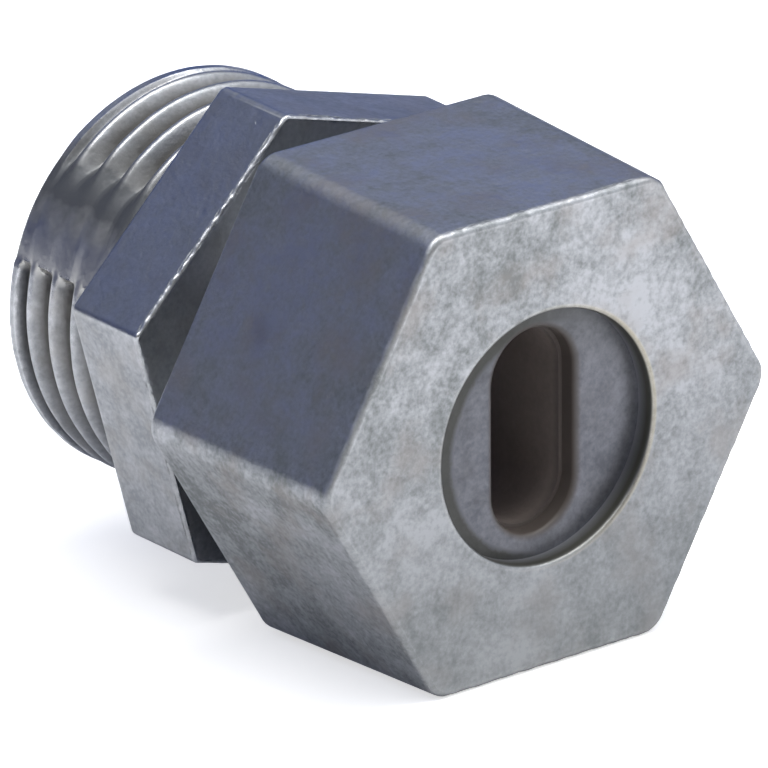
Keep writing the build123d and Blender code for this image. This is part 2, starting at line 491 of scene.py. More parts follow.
def cut_conduit_thread(piece):
    """Cuts the conduit thread, with the worn strips where the two halves of the die met."""
    points = read_points(piece)
    radius = np.hypot(points[:, 0], points[:, 2])
    on_thread = (points[:, 1] > THREAD_ROOT_Y - TOUCH) & (radius > CONDUIT_RADIUS - TOUCH)
    spots = points[on_thread]
    phase = phase_of(spots, CONDUIT_PITCH, THREAD_END_Y - CREST_SETBACK)
    depth = CONDUIT_DEPTH * groove(phase, CONDUIT_PITCH, CONDUIT_CREST, CONDUIT_ROOT)
    depth *= fade(spots[:, 1], THREAD_ROOT_Y - MM, THREAD_END_Y - THREAD_LAND, THREAD_FADE)
    rise = np.arctan2(spots[:, 2], -spots[:, 0]) - SEAM_ANGLE
    rise = np.mod(rise + pi / 2, pi) - pi / 2
    in_seam = np.clip((rise + SEAM_REACH) / SEAM_LOWER_SOFTNESS, 0, 1)
    left = np.clip((SEAM_REACH + SEAM_UPPER_SOFTNESS - rise) / SEAM_UPPER_SOFTNESS, 0, 1)
    in_seam *= left ** 2 * (3 - 2 * left)
    near_end = np.clip(spots[:, 1] / SEAM_CLEAN_Y, 0, 1)
    seam_groove = SEAM_GROOVE_ROOT + (SEAM_GROOVE_END - SEAM_GROOVE_ROOT) * near_end
    depth = depth * (1 - in_seam) + (depth / CONDUIT_DEPTH * seam_groove + SEAM_DROP) * in_seam
    waves = np.array([noise.noise(Vector(spot) / CAST_WAVE_SIZE) for spot in spots])
    depth += CAST_WAVE * waves.clip(0)
    spots[:, [0, 2]] *= ((CONDUIT_RADIUS - depth) / radius[on_thread])[:, None]
    points[on_thread] = spots
    write_points(piece, points)
    return int(on_thread.sum())


def cut_gland_thread(piece):
    """Cuts the outside thread of the spigot."""
    points = read_points(piece)
    radius = np.hypot(points[:, 0], points[:, 2])
    on_thread = (points[:, 1] < GLAND_START_Y + TOUCH) & (radius > GLAND_RADIUS - TOUCH)
    spots = points[on_thread]
    phase = phase_of(spots, GLAND_PITCH, 0.0)
    depth = GLAND_DEPTH * groove(phase, GLAND_PITCH, GLAND_CREST, GLAND_ROOT)
    depth *= fade(spots[:, 1], SPIGOT_RIM_Y + RIM_CHAMFER, GLAND_START_Y, GLAND_PITCH / 4)
    spots[:, [0, 2]] *= ((GLAND_RADIUS - depth) / radius[on_thread])[:, None]
    points[on_thread] = spots
    write_points(piece, points)
    return int(on_thread.sum())


print("conduit thread points:", cut_conduit_thread(body))
print("gland thread points:", cut_gland_thread(body))
carve(body, collar, "UNION")
finish_mesh(body)

# %% [markdown]
# The nut is a six-sided primitive too. Die castings need draft to leave the die, so its rear is
# made larger by scaling that outline about the axis. The long edges have a large radius, the front
# and rear outlines a small one, and the front one wanders like the collar's.

# %% Nut: outer form
NUT_ACROSS_FLATS = 23.8 * MM
NUT_DRAFT = radians(2.2)
NUT_CORNER_RADIUS = 1.3 * MM
NUT_FRONT_ROUND = 0.34 * MM
NUT_REAR_ROUND = 0.25 * MM
NUT_WANDER = 0.09 * MM
NUT_WANDER_SIZE = 0.5 * MM
NUT_SEED = 11.0

NUT_LENGTH = NUT_REAR_Y - NUT_FRONT_Y
nut = hexagonal_prism("gland_nut_casting", NUT_ACROSS_FLATS, NUT_FRONT_Y, NUT_REAR_Y, 0.0)
mesh = edit(nut)
pick(nut, mesh.verts, lambda vertex: vertex.co.y > NUT_REAR_Y - TOUCH)
GROWTH = 1 + 2 * NUT_LENGTH * tan(NUT_DRAFT) / NUT_ACROSS_FLATS
bpy.ops.transform.resize(value=(GROWTH, 1, GROWTH), center_override=(0, 0, 0))
close_edit()
round_long_edges(nut, NUT_CORNER_RADIUS)
round_outline(nut, NUT_FRONT_Y, NUT_FRONT_ROUND)
round_outline(nut, NUT_REAR_Y, NUT_REAR_ROUND)
roughen(
    nut,
    lambda point: TOUCH < point.y - NUT_FRONT_Y < NUT_FRONT_ROUND * WITH_LAST_ROW,
    NUT_WANDER,
    NUT_WANDER_SIZE,
    NUT_SEED,
)
print("nut:", [round(v * 1000, 2) for v in nut.dimensions], "mm")

# %% [markdown]
# The nut's inside is one turned tool: front hole, pocket for the washer, shoulder, threaded bore
# and mouth. The tool carries the thread as a ridge-and-groove surface, so the difference leaves a
# real inside thread that follows the spigot's, with a little play, when the nut is turned.

# %% Nut: hollow with its thread
NUT_HOLE_RADIUS = 6.45 * MM
NUT_HOLE_ROUND = 0.22 * MM
POCKET_RADIUS = 8.95 * MM
LIP_GAP = 0.005 * MM
BORE_PLAY = 0.08 * MM
NUT_THREAD_DEPTH = 0.58 * MM
NUT_THREAD_CREST = 0.12 * MM
NUT_THREAD_ROOT = 0.34 * MM
NUT_MOUTH_CHAMFER = 0.7 * MM
NUT_BORE_RADIUS = GLAND_RADIUS + BORE_PLAY
SHOULDER_Y = WASHER_REAR_Y + NUT_BORE_RADIUS - POCKET_RADIUS
TOOL_CORE = 3.0 * MM
CORE_OVERLAP = 0.5 * MM


def nut_hollow_section():
    """Outline of the tool that hollows the nut, from a core near the axis outwards."""
    points = [(TOOL_CORE, NUT_FRONT_Y - MM), (NUT_HOLE_RADIUS + NUT_HOLE_ROUND + MM, NUT_FRONT_Y - MM)]
    for step in range(ARC_STEPS + 1):
        angle = pi / 2 * step / ARC_STEPS
        radius = NUT_HOLE_RADIUS + NUT_HOLE_ROUND * (1 - sin(angle))
        points.append((radius, NUT_FRONT_Y + NUT_HOLE_ROUND * (1 - cos(angle))))
    points.append((NUT_HOLE_RADIUS, WASHER_FRONT_Y - LIP_GAP))
    points.append((POCKET_RADIUS, WASHER_FRONT_Y - LIP_GAP))
    points.append((POCKET_RADIUS, WASHER_REAR_Y))
    points += run(NUT_BORE_RADIUS, SHOULDER_Y, NUT_REAR_Y - NUT_MOUTH_CHAMFER, ROW)
    points.append((NUT_BORE_RADIUS + NUT_MOUTH_CHAMFER, NUT_REAR_Y))
    points.append((NUT_BORE_RADIUS + NUT_MOUTH_CHAMFER, NUT_REAR_Y + MM))
    points.append((TOOL_CORE, NUT_REAR_Y + MM))
    return points


def shape_inside_thread(tool):
    """Draws the tool in where the spigot has its grooves, which leaves the nut's ridges there."""
    points = read_points(tool)
    radius = np.hypot(points[:, 0], points[:, 2])
    on_thread = np.abs(radius - NUT_BORE_RADIUS) < TOUCH
    spots = points[on_thread]
    phase = phase_of(spots, GLAND_PITCH, 0.0)
    depth = NUT_THREAD_DEPTH * groove(phase, GLAND_PITCH, NUT_THREAD_ROOT, NUT_THREAD_CREST)
    depth *= fade(spots[:, 1], SHOULDER_Y, NUT_REAR_Y - NUT_MOUTH_CHAMFER, GLAND_PITCH / 4)
    spots[:, [0, 2]] *= ((NUT_BORE_RADIUS - depth) / radius[on_thread])[:, None]
    points[on_thread] = spots
    write_points(tool, points)


hollow = lathe("nut_hollow", nut_hollow_section())
shape_inside_thread(hollow)
carve(nut, plain_cylinder("nut_core", TOOL_CORE + CORE_OVERLAP, NUT_FRONT_Y - MM, NUT_REAR_Y + MM))
carve(nut, hollow)
finish_mesh(nut)

# %% [markdown]
# The washer is punched from steel strip. The punch draws its front edges in and rounds them. A
# thin disc is cut by an oblong tool, which is a cylinder whose upper and lower halves are moved
# apart, and then the front outlines are bevelled.

# %% Washer
WASHER_RADIUS = (WASHER_HIGH.x - WASHER_LOW.x) / 2
SLOT_WIDTH = 5.0 * MM
SLOT_HEIGHT = 10.5 * MM
SLOT_ROUND = 0.32 * MM
DISC_SIDES = 160
FACES_FRONT = -0.9


def oblong_tool(name, width, height, front, rear):
    """Upright oblong prism along the axis."""
    tool = plain_cylinder(name, width / 2, front, rear)
    reach = (height - width) / 2
    mesh = edit(tool)
    pick(tool, mesh.verts, lambda vertex: vertex.co.z > TOUCH)
    bpy.ops.transform.translate(value=(0, 0, reach))
    bpy.ops.mesh.select_all(action="DESELECT")
    mesh = bmesh.from_edit_mesh(tool.data)
    pick(tool, mesh.verts, lambda vertex: vertex.co.z < -TOUCH)
    bpy.ops.transform.translate(value=(0, 0, -reach))
    close_edit()
    return tool


washer = plain_cylinder("slotted_washer", WASHER_RADIUS, WASHER_FRONT_Y, WASHER_REAR_Y, DISC_SIDES)
carve(washer, oblong_tool("washer_slot", SLOT_WIDTH, SLOT_HEIGHT, WASHER_FRONT_Y - MM, WASHER_REAR_Y + MM))
mesh = edit(washer, "EDGE")
pick(washer, mesh.edges, lambda edge: outline_edge(edge, WASHER_FRONT_Y)
     and len({face.normal.y < FACES_FRONT for face in edge.link_faces}) == 2)
bpy.ops.mesh.bevel(offset=SLOT_ROUND, segments=ROUND_SEGMENTS)
close_edit()
finish_mesh(washer)

# %% [markdown]
# The rubber bushing is turned like the cup it sits in, with a nose for the conical seat, and has a
# slot a little tighter than the washer's. Its slot is what looks dark brown through the washer.

# %% Rubber bushing
BUSHING_RADIUS = (BUSHING_HIGH.x - BUSHING_LOW.x) / 2
BUSHING_EDGE = 0.35 * MM
BUSHING_GRIP = 0.2 * MM
BUSHING_STEPS = 128
BUSHING_NOSE_Y = BUSHING_HIGH.y
NOSE_START_Y = BUSHING_NOSE_Y - (BUSHING_RADIUS - THROAT_RADIUS)

bushing = lathe("rubber_bushing", [
    (BUSHING_RADIUS - BUSHING_EDGE, BUSHING_LOW.y),
    (BUSHING_RADIUS, BUSHING_LOW.y + BUSHING_EDGE),
    (BUSHING_RADIUS, NOSE_START_Y),
    (THROAT_RADIUS, BUSHING_NOSE_Y),
    (MM, BUSHING_NOSE_Y),
    (MM, BUSHING_LOW.y),
], BUSHING_STEPS)
carve(bushing, oblong_tool(
    "bushing_slot",
    SLOT_WIDTH - 2 * BUSHING_GRIP,
    SLOT_HEIGHT - 2 * BUSHING_GRIP,
    BUSHING_LOW.y - MM,
    BUSHING_NOSE_Y + MM,
))
finish_mesh(bushing)

# %% [markdown]
# Finishes. Three node groups are shared by the pieces: mottle is the cloudy tone of a used surface,
# grain is a fine skin with pits, and edge tells where a corner is near. Each puts out only colours
# and values, and the shader itself stays in the material. A few helpers keep the node code short.

# %% Node helpers
FLOAT, COLOR, VECTOR = "NodeSocketFloat", "NodeSocketColor", "NodeSocketVector"
MIX_SHARE, MIX_FIRST, MIX_SECOND, MIX_RESULT = 0, 6, 7, 2


def new_group(name, inputs, outputs):
    """Shader node group with float, colour or vector sockets, and its input and output nodes."""
    group = bpy.data.node_groups.new(name, "ShaderNodeTree")
    for label, kind, value in inputs:
        socket = group.interface.new_socket(label, in_out="INPUT", socket_type=kind)
        if value is not None:
            socket.default_value = value
    for label, kind in outputs:
        group.interface.new_socket(label, in_out="OUTPUT", socket_type=kind)
    return group, group.nodes.new("NodeGroupInput"), group.nodes.new("NodeGroupOutput")


def add(tree, kind, inputs=None, **settings):
    """One shader node with its settings, and its inputs linked or set."""
    node = tree.nodes.new("ShaderNode" + kind)
    for key, value in settings.items():
        setattr(node, key, value)
    for key, value in (inputs or {}).items():
        if isinstance(value, bpy.types.NodeSocket):
            tree.links.new(value, node.inputs[key])
        else:
            node.inputs[key].default_value = value
    return node


def spread(tree, value, low, high, out_low=0.0, out_high=1.0):
    """Maps a value from one range to another, clamped."""
    return add(tree, "MapRange", {
        "Value": value, "From Min": low, "From Max": high, "To Min": out_low, "To Max": out_high,
    }).outputs["Result"]


def mixed(tree, share, first, second):
    """Mix of two colours by a share."""
    inputs = {MIX_SHARE: share, MIX_FIRST: first, MIX_SECOND: second}
    return add(tree, "Mix", inputs, data_type="RGBA").outputs[MIX_RESULT]


def math(tree, operation, first, second=0.0):
    """One math node on one or two values."""
    return add(tree, "Math", {0: first, 1: second}, operation=operation).outputs[0]


def noise_value(tree, place, scale, detail, **more):
    """Value of a noise texture, with its other inputs by name."""
    return add(tree, "TexNoise", {"Vector": place, "Scale": scale, "Detail": detail, **more}).outputs["Fac"]


def object_place(tree):
    """Place of the shaded point in the object's own coordinates."""
    return add(tree, "TexCoord").outputs["Object"]


def new_material(name):
    """Material with its node tree and its Principled BSDF."""
    material = bpy.data.materials.new(name)
    material.use_nodes = True
    return material, material.node_tree, material.node_tree.nodes["Principled BSDF"]


def product(tree, first, *others):
    """Product of two or more values."""
    for other in others:
        first = math(tree, "MULTIPLY", first, other)
    return first


print("mix node gives", MIX_RESULT, "from", MIX_SHARE, MIX_FIRST, MIX_SECOND)

# %% [markdown]
# Mottle adds noise at three sizes into one share, which picks a tone between dark and pale. A
# fourth noise, moved aside so that it doesn't follow the clouds, lays faint warm stains over it.

# %% Group: mottle
CLOUD_SHARE, SPECK_SHARE, PATCH_SHARE = 0.4, 0.3, 0.3
TONE_DARK_END, TONE_PALE_END = 0.4, 0.6
STAIN_START, STAIN_FULL = 0.5, 0.66
STAIN_SHIFT = (0.031, 0.017, 0.053)


def mottle_group():
    """Cloudy tone: pale and dark at three sizes, patch, cloud and speck, and faint warm stains."""
    tree, into, out = new_group(
        "mottle",
        [("Vector", VECTOR, None), ("Pale", COLOR, None), ("Dark", COLOR, None), ("Stain", COLOR, None),
         ("Cloud", FLOAT, 650.0), ("Speck", FLOAT, 3600.0), ("Patch", FLOAT, 130.0),
         ("Stain Share", FLOAT, 0.3)],
        [("Color", COLOR), ("Share", FLOAT)],
    )
    place = into.outputs["Vector"]
    clouds = noise_value(tree, place, into.outputs["Cloud"], 5.0, Roughness=0.65, Distortion=0.3)
    specks = noise_value(tree, place, into.outputs["Speck"], 3.0, Roughness=0.6)
    patches = noise_value(tree, place, into.outputs["Patch"], 2.0)
    small = math(tree, "ADD", product(tree, clouds, CLOUD_SHARE), product(tree, specks, SPECK_SHARE))
    total = math(tree, "ADD", small, product(tree, patches, PATCH_SHARE))
    share = spread(tree, total, TONE_DARK_END, TONE_PALE_END)
    tone = mixed(tree, share, into.outputs["Dark"], into.outputs["Pale"])
    moved = add(tree, "Mapping", {"Vector": place, "Location": STAIN_SHIFT}).outputs[0]
    stains = noise_value(tree, moved, product(tree, into.outputs["Cloud"], 0.5), 4.0, Roughness=0.55)
    stained = product(tree, spread(tree, stains, STAIN_START, STAIN_FULL), into.outputs["Stain Share"])
    tree.links.new(mixed(tree, stained, tone, into.outputs["Stain"]), out.inputs["Color"])
    tree.links.new(share, out.inputs["Share"])
    return tree


MOTTLE = mottle_group()
print("group:", MOTTLE.name)

# %% [markdown]
# Grain is a height for a Bump node. Fine noise and slow waves are added up, and a few cells of a
# Voronoi pattern, chosen by their random colour, get a pit in the middle.

# %% Group: grain
FINE_HEIGHT = 0.5
WAVE_HEIGHT = 0.9
PIT_DEPTH = 0.25
PIT_FLOOR, PIT_RIM = 0.08, 0.24
PIT_CHOICE_LOW, PIT_CHOICE_HIGH = 0.62, 0.7


def grain_group():
    """Height of a cast skin: fine grain, slow waves and a few pits."""
    tree, into, out = new_group(
        "grain",
        [("Vector", VECTOR, None), ("Grain", FLOAT, 3000.0), ("Wave", FLOAT, 420.0), ("Pit", FLOAT, 800.0)],
        [("Height", FLOAT)],
    )
    place = into.outputs["Vector"]
    fine = noise_value(tree, place, into.outputs["Grain"], 3.0, Roughness=0.65)
    wave = noise_value(tree, place, into.outputs["Wave"], 2.0)
    cells = add(tree, "TexVoronoi", {"Vector": place, "Scale": into.outputs["Pit"], "Randomness": 1.0})
    pits = spread(tree, cells.outputs["Distance"], PIT_FLOOR, PIT_RIM, 1.0, 0.0)
    chosen = spread(tree, cells.outputs["Color"], PIT_CHOICE_LOW, PIT_CHOICE_HIGH)
    height = math(tree, "ADD", product(tree, fine, FINE_HEIGHT), product(tree, wave, WAVE_HEIGHT))
    pitted = math(tree, "SUBTRACT", height, product(tree, pits, chosen, PIT_DEPTH))
    tree.links.new(pitted, out.inputs["Height"])
    return tree


GRAIN = grain_group()
print("group:", GRAIN.name)

# %% [markdown]
# Edge compares the true normal with one that a Bevel node has softened. Where the two differ, a
# corner is near. Noise breaks the result up, because wear is never even.

# %% Group: edge
EDGE_NONE, EDGE_FULL = 0.999, 0.93
BREAK_LOW, BREAK_HIGH = 0.36, 0.56
BREAK_LEAST = 0.25


def edge_group():
    """Share of a worn edge: up to 1 where a corner is within the radius, broken up, 0 on open surface."""
    tree, into, out = new_group(
        "edge",
        [("Vector", VECTOR, None), ("Radius", FLOAT, 0.0004), ("Break", FLOAT, 2600.0)],
        [("Share", FLOAT)],
    )
    breaks = noise_value(tree, into.outputs["Vector"], into.outputs["Break"], 2.0)
    soft = add(tree, "Bevel", {"Radius": into.outputs["Radius"]}, samples=6)
    true = add(tree, "NewGeometry")
    turn = add(tree, "VectorMath", {0: soft.outputs[0], 1: true.outputs["Normal"]},
               operation="DOT_PRODUCT")
    near = spread(tree, turn.outputs["Value"], EDGE_NONE, EDGE_FULL)
    kept = spread(tree, breaks, BREAK_LOW, BREAK_HIGH, BREAK_LEAST, 1.0)
    tree.links.new(product(tree, near, kept), out.inputs["Share"])
    return tree


EDGE = edge_group()
print("group:", EDGE.name)

# %% [markdown]
# Every material starts from the mottle group and ends with the grain group on its normal. Some
# tones go by place, such as painted shade deep in a groove or on the wall of a hole. A share that
# comes from the distance to the axis and the place along it lays such a tone over the finish.

# %% Helpers for materials
def mottled_material(name, pale, dark, stain):
    """Material with the mottle group on its base colour, and the nodes that the rest starts from."""
    material, tree, shader = new_material(name)
    place = object_place(tree)
    mottle = add(tree, "Group", {"Vector": place}, node_tree=MOTTLE)
    for label, value in (("Pale", pale), ("Dark", dark), ("Stain", stain)):
        mottle.inputs[label].default_value = (*value, 1.0)
    tree.links.new(mottle.outputs["Color"], shader.inputs["Base Color"])
    return material, tree, shader, place, mottle


def add_skin(tree, place, strength, depth):
    """Puts the grain group on the shader's normal."""
    grain = add(tree, "Group", {"Vector": place}, node_tree=GRAIN)
    relief = add(tree, "Bump", {"Height": grain.outputs["Height"], "Strength": strength, "Distance": depth})
    tree.links.new(relief.outputs[0], tree.nodes["Principled BSDF"].inputs["Normal"])


def place_of(tree):
    """Distance from the axis, and the three coordinates, of the point that is shaded."""
    apart = add(tree, "SeparateXYZ", {"Vector": object_place(tree)})
    flat = add(tree, "CombineXYZ", {"X": apart.outputs["X"], "Z": apart.outputs["Z"]}).outputs[0]
    radius = add(tree, "VectorMath", {0: flat}, operation="LENGTH").outputs["Value"]
    return radius, apart.outputs["X"], apart.outputs["Y"], apart.outputs["Z"]


def distance(tree, place, middle):
    """Distance of a place from a fixed point."""
    return add(tree, "VectorMath", {0: place, 1: middle}, operation="DISTANCE").outputs["Value"]


def lay_over(tree, share, color):
    """Mixes a colour over the base colour that the material has so far."""
    base = tree.nodes["Principled BSDF"].inputs["Base Color"]
    tree.links.new(mixed(tree, share, base.links[0].from_socket, color), base)


def change_roughness(tree, operation, value):
    """Changes the roughness that the material has so far by one math step."""
    rough = tree.nodes["Principled BSDF"].inputs["Roughness"]
    tree.links.new(math(tree, operation, rough.links[0].from_socket, value), rough)


# %% [markdown]
# Cast zinc is a metal, but its skin is dull: it has a grey oxide, so the shader is metallic with a
# high roughness. Where the skin is worn at a corner it is smoother and paler, and that is where
# the bright lines in the photograph come from.

# %% Material: cast zinc
WORN_SHARE = 0.6
WORN_ZINC = (0.78, 0.79, 0.81, 1.0)
WORN_POLISH = 0.26
CASTING_SKIN = 0.00006


def cast_zinc(name, pale, dark, stain, stain_share, cloud, roughness, bump):
    """Cast zinc with its own tones, cloud size, (smooth, rough) roughness and depth of grain."""
    material, tree, shader, place, mottle = mottled_material(name, pale, dark, stain)
    mottle.inputs["Cloud"].default_value = cloud
    mottle.inputs["Stain Share"].default_value = stain_share
    edge = add(tree, "Group", {"Vector": place}, node_tree=EDGE)
    lay_over(tree, product(tree, edge.outputs["Share"], WORN_SHARE), WORN_ZINC)
    rough = spread(tree, mottle.outputs["Share"], 0.0, 1.0, roughness[1], roughness[0])
    polish = product(tree, edge.outputs["Share"], WORN_POLISH)
    tree.links.new(math(tree, "SUBTRACT", rough, polish), shader.inputs["Roughness"])
    shader.inputs["Metallic"].default_value = 1.0
    add_skin(tree, place, bump, CASTING_SKIN)
    return material


BODY_ZINC = cast_zinc("body_zinc", (0.50, 0.51, 0.53), (0.31, 0.325, 0.34), (0.36, 0.34, 0.31), 0.35,
                      750.0, (0.33, 0.45), 0.7)
NUT_ZINC = cast_zinc("nut_zinc", (0.50, 0.512, 0.535), (0.225, 0.24, 0.24), (0.36, 0.33, 0.31), 0.5,
                     620.0, (0.40, 0.54), 0.75)
print("zinc for", BODY_ZINC.name, "and", NUT_ZINC.name)

# %% [markdown]
# The body's tones: painted shade deep in the grooves of the conduit thread, a warmer metal on its
# worn strip, and a painted dark reflection, rougher too, with a ragged border where the grooves run
# out above the strip.

# %% Tones of the body
# Painted shade in the grooves of the conduit thread: its colour, depths and fade along the axis.
GROOVE_SHADE = (0.115, 0.11, 0.102, 1.0)
GROOVE_SHADE_SHARE = 0.9
GROOVE_SHADE_TOP = 0.05 * MM
GROOVE_SHADE_DEEP = 0.7 * MM
GROOVE_SHADE_FADE = (-0.3 * MM, 0.3 * MM)
STRIP_ZINC = (0.48, 0.475, 0.455, 1.0)
STRIP_FOOT = (radians(13), radians(16))
STRIP_HEAD = (radians(58), radians(46))
STRIP_RAGGED = radians(14)
STRIP_FADE = (0.0, 0.2 * MM)
STRIP_CLOUD = 900.0
# Painted dark reflection where the grooves run out above the strip; it also adds roughness.
STRIP_DARK_REFLECTION = (0.105, 0.112, 0.122, 1.0)
DARK_REFLECTION_START = (radians(26), radians(36))
DARK_REFLECTION_SHARE = 0.9
DARK_REFLECTION_ROUGHNESS = 0.3


def shade_grooves(material):
    """Brownish painted shade in the conduit thread, darker the deeper in the groove."""
    tree = material.node_tree
    radius, _, along, _ = place_of(tree)
    deep = spread(tree, radius, CONDUIT_RADIUS - GROOVE_SHADE_TOP, CONDUIT_RADIUS - GROOVE_SHADE_DEEP, 0.0, GROOVE_SHADE_SHARE)
    on_thread = spread(tree, along, *GROOVE_SHADE_FADE)
    # Painted shade, brownish, darker the deeper in the groove.
    lay_over(tree, product(tree, deep, on_thread), GROOVE_SHADE)


def tone_strip(material):
    """The worn strip's metal is warmer, and a painted dark reflection, also rougher, lies where the grooves
    run out above it.
    """
    tree = material.node_tree
    _, across, along, upwards = place_of(tree)
    cloud = noise_value(tree, object_place(tree), STRIP_CLOUD, 3.0)
    slope = math(tree, "ARCTAN2", upwards, product(tree, across, -1.0))
    ragged = math(tree, "ADD", slope, product(tree, math(tree, "SUBTRACT", cloud, 0.5), STRIP_RAGGED))
    on_thread = spread(tree, along, *STRIP_FADE)
    strip = product(tree, spread(tree, slope, *STRIP_FOOT), spread(tree, ragged, *STRIP_HEAD), on_thread)
    lay_over(tree, strip, STRIP_ZINC)
    # Painted dark reflection where the grooves run out above the strip, with more roughness there.
    dark_reflection = product(tree, strip, spread(tree, ragged, *DARK_REFLECTION_START))
    lay_over(tree, product(tree, dark_reflection, DARK_REFLECTION_SHARE), STRIP_DARK_REFLECTION)
    change_roughness(tree, "ADD", product(tree, dark_reflection, DARK_REFLECTION_ROUGHNESS))


shade_grooves(BODY_ZINC)
tone_strip(BODY_ZINC)
print("body_zinc has", len(BODY_ZINC.node_tree.nodes), "nodes")

# %% [markdown]
# The nut's tones: the smooth wall of its front hole, painted shade as a dark line behind the hole's
# rounded rim, a brassy painted highlight on that rim towards the right, and painted shade on the
# lower part of the face.

# %% Tones of the nut
HOLE_WALL = (0.3, 0.305, 0.32, 1.0)
# Painted shade: a dark line on the hole's wall behind the rim.
HOLE_SHADE_LINE = (0.12, 0.118, 0.1, 1.0)
HOLE_SHADE_END = 1.05 * MM
HOLE_SHADE_FULL = 0.45 * MM
# Painted highlight: a brassy tinge on the hole's rim, stronger to the right.
HOLE_GOLD_HIGHLIGHT = (0.5, 0.45, 0.32, 1.0)
HOLE_ROUGHNESS = 0.55
GOLD_HIGHLIGHT_LEFT = -2 * MM
GOLD_HIGHLIGHT_RIGHT = 5 * MM
GOLD_HIGHLIGHT_LEAST, GOLD_HIGHLIGHT_MOST = 0.05, 0.6
RIM_INNER = 0.02 * MM
RIM_START = 0.08 * MM
RIM_END = 0.2 * MM
RIM_OUTER = 0.3 * MM
# Painted shade on the lower part of the nut's front face.
LOW_FACE_SHADE = (0.25, 0.262, 0.27, 1.0)
LOW_FACE_SHADE_HIGH = 4 * MM
LOW_FACE_SHADE_LOW = -9 * MM
LOW_FACE_SHADE_LEAST, LOW_FACE_SHADE_MOST = 0.04, 0.56
FACE_END = 0.3 * MM
FACE_FULL = 0.1 * MM


def tone_hole(material):
    """Smooth wall of the front hole with painted shade near its front, and a brassy painted highlight on
    its rounding, stronger to the right.
    """
    tree = material.node_tree
    radius, across, along, _ = place_of(tree)
    in_hole = spread(tree, radius, NUT_HOLE_RADIUS + RIM_START, NUT_HOLE_RADIUS + RIM_INNER)
    lay_over(tree, in_hole, HOLE_WALL)
    # Painted shade: a dark line on the hole's wall, darkest near its front.
    front = spread(tree, along, NUT_FRONT_Y + HOLE_SHADE_END, NUT_FRONT_Y + HOLE_SHADE_FULL)
    lay_over(tree, product(tree, in_hole, front), HOLE_SHADE_LINE)
    # Painted highlight: a brassy tinge on the rim's rounding, growing towards the right.
    inner = spread(tree, radius, NUT_HOLE_RADIUS + RIM_INNER, NUT_HOLE_RADIUS + RIM_START)
    outer = spread(tree, radius, NUT_HOLE_RADIUS + RIM_OUTER, NUT_HOLE_RADIUS + RIM_END)
    lit_on_right = spread(tree, across, GOLD_HIGHLIGHT_LEFT, GOLD_HIGHLIGHT_RIGHT, GOLD_HIGHLIGHT_LEAST, GOLD_HIGHLIGHT_MOST)
    lay_over(tree, product(tree, inner, outer, lit_on_right), HOLE_GOLD_HIGHLIGHT)
    change_roughness(tree, "MAXIMUM", product(tree, in_hole, HOLE_ROUGHNESS))


def shade_low_face(material):
    """Painted shade: the lower part of the nut's front face is darker than the rest."""
    tree = material.node_tree
    _, _, along, upwards = place_of(tree)
    on_face = spread(tree, along, NUT_FRONT_Y + FACE_END, NUT_FRONT_Y + FACE_FULL)
    low = spread(tree, upwards, LOW_FACE_SHADE_HIGH, LOW_FACE_SHADE_LOW, LOW_FACE_SHADE_LEAST, LOW_FACE_SHADE_MOST)
    # Painted shade, growing towards the bottom of the face.
    lay_over(tree, product(tree, on_face, low), LOW_FACE_SHADE)


tone_hole(NUT_ZINC)
shade_low_face(NUT_ZINC)
print("nut_zinc has", len(NUT_ZINC.node_tree.nodes), "nodes")

# %% [markdown]
# The washer is plated steel. Painted shade of the nut's lip lies in a ragged ring, off-centre and
# mostly on the left, and painted shade darkens its upper part. The drawn-in edge of its slot is
# painted dark brown and not metallic, as painted shade. The distance to the slot's middle line says
# where that painted shade lies.

# %% Material: washer steel
LIP_SHADE_START = 0.55 * MM
LIP_SHADE_END = 0.25 * MM
# Painted shade of the nut's lip: its colour, an off-centre middle and a ragged edge, mostly on the left.
LIP_SHADE_COLOR = (0.07, 0.07, 0.062, 1.0)
LIP_SHADE_MIDDLE = (0.85 * MM, 0.0, -0.5 * MM)
LIP_SHADE_RAGGED = 0.25 * MM
LIP_SHADE_NONE_X = 4.0 * MM
LIP_SHADE_FULL_X = -2.0 * MM
LIP_SHADE_SHARE = 0.85
# Painted shade on the washer's upper part, under the lip.
UPPER_SHADE_START = 1.5 * MM
UPPER_SHADE_END = 6.0 * MM
UPPER_SHADE_SHARE = 0.5
# Painted shade, dark brown, round the washer's slot and on the rubber's front face.
SLOT_SHADE_BROWN = (0.09, 0.075, 0.066, 1.0)
SLOT_SHADE_INNER = 0.05 * MM
SLOT_SHADE_OUTER = 0.4 * MM
WASHER_ROUGH, WASHER_SMOOTH = 0.5, 0.4
WASHER_BUMP = 0.18
WASHER_SKIN = 0.00005


